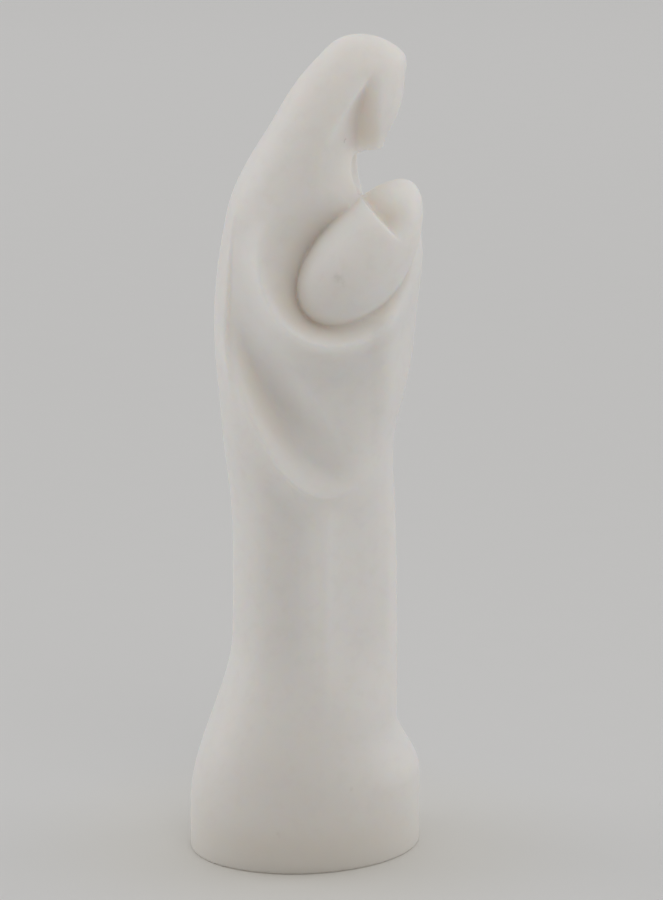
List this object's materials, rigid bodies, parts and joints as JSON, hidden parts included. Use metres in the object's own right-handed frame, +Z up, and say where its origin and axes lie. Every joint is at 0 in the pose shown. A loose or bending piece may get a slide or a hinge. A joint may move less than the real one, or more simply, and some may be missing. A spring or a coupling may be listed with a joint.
{
  "type": "madonna and child statue",
  "caption": "Carved alabaster statue of a hooded mother bowing over a swaddled child, on a spreading oval foot.",
  "frame": {"origin": "on the ground under the middle of the foot", "axes": "+Z up, -Y towards the viewer and the child, +X to the side that the mother bows to"},
  "size_m": [0.068, 0.0646, 0.24],
  "materials": {
    "alabaster": "satin, polished by hand"
  },
  "bodies": {
    "root": {"madonna_and_child": "alabaster"}
  },
  "joints": []
}
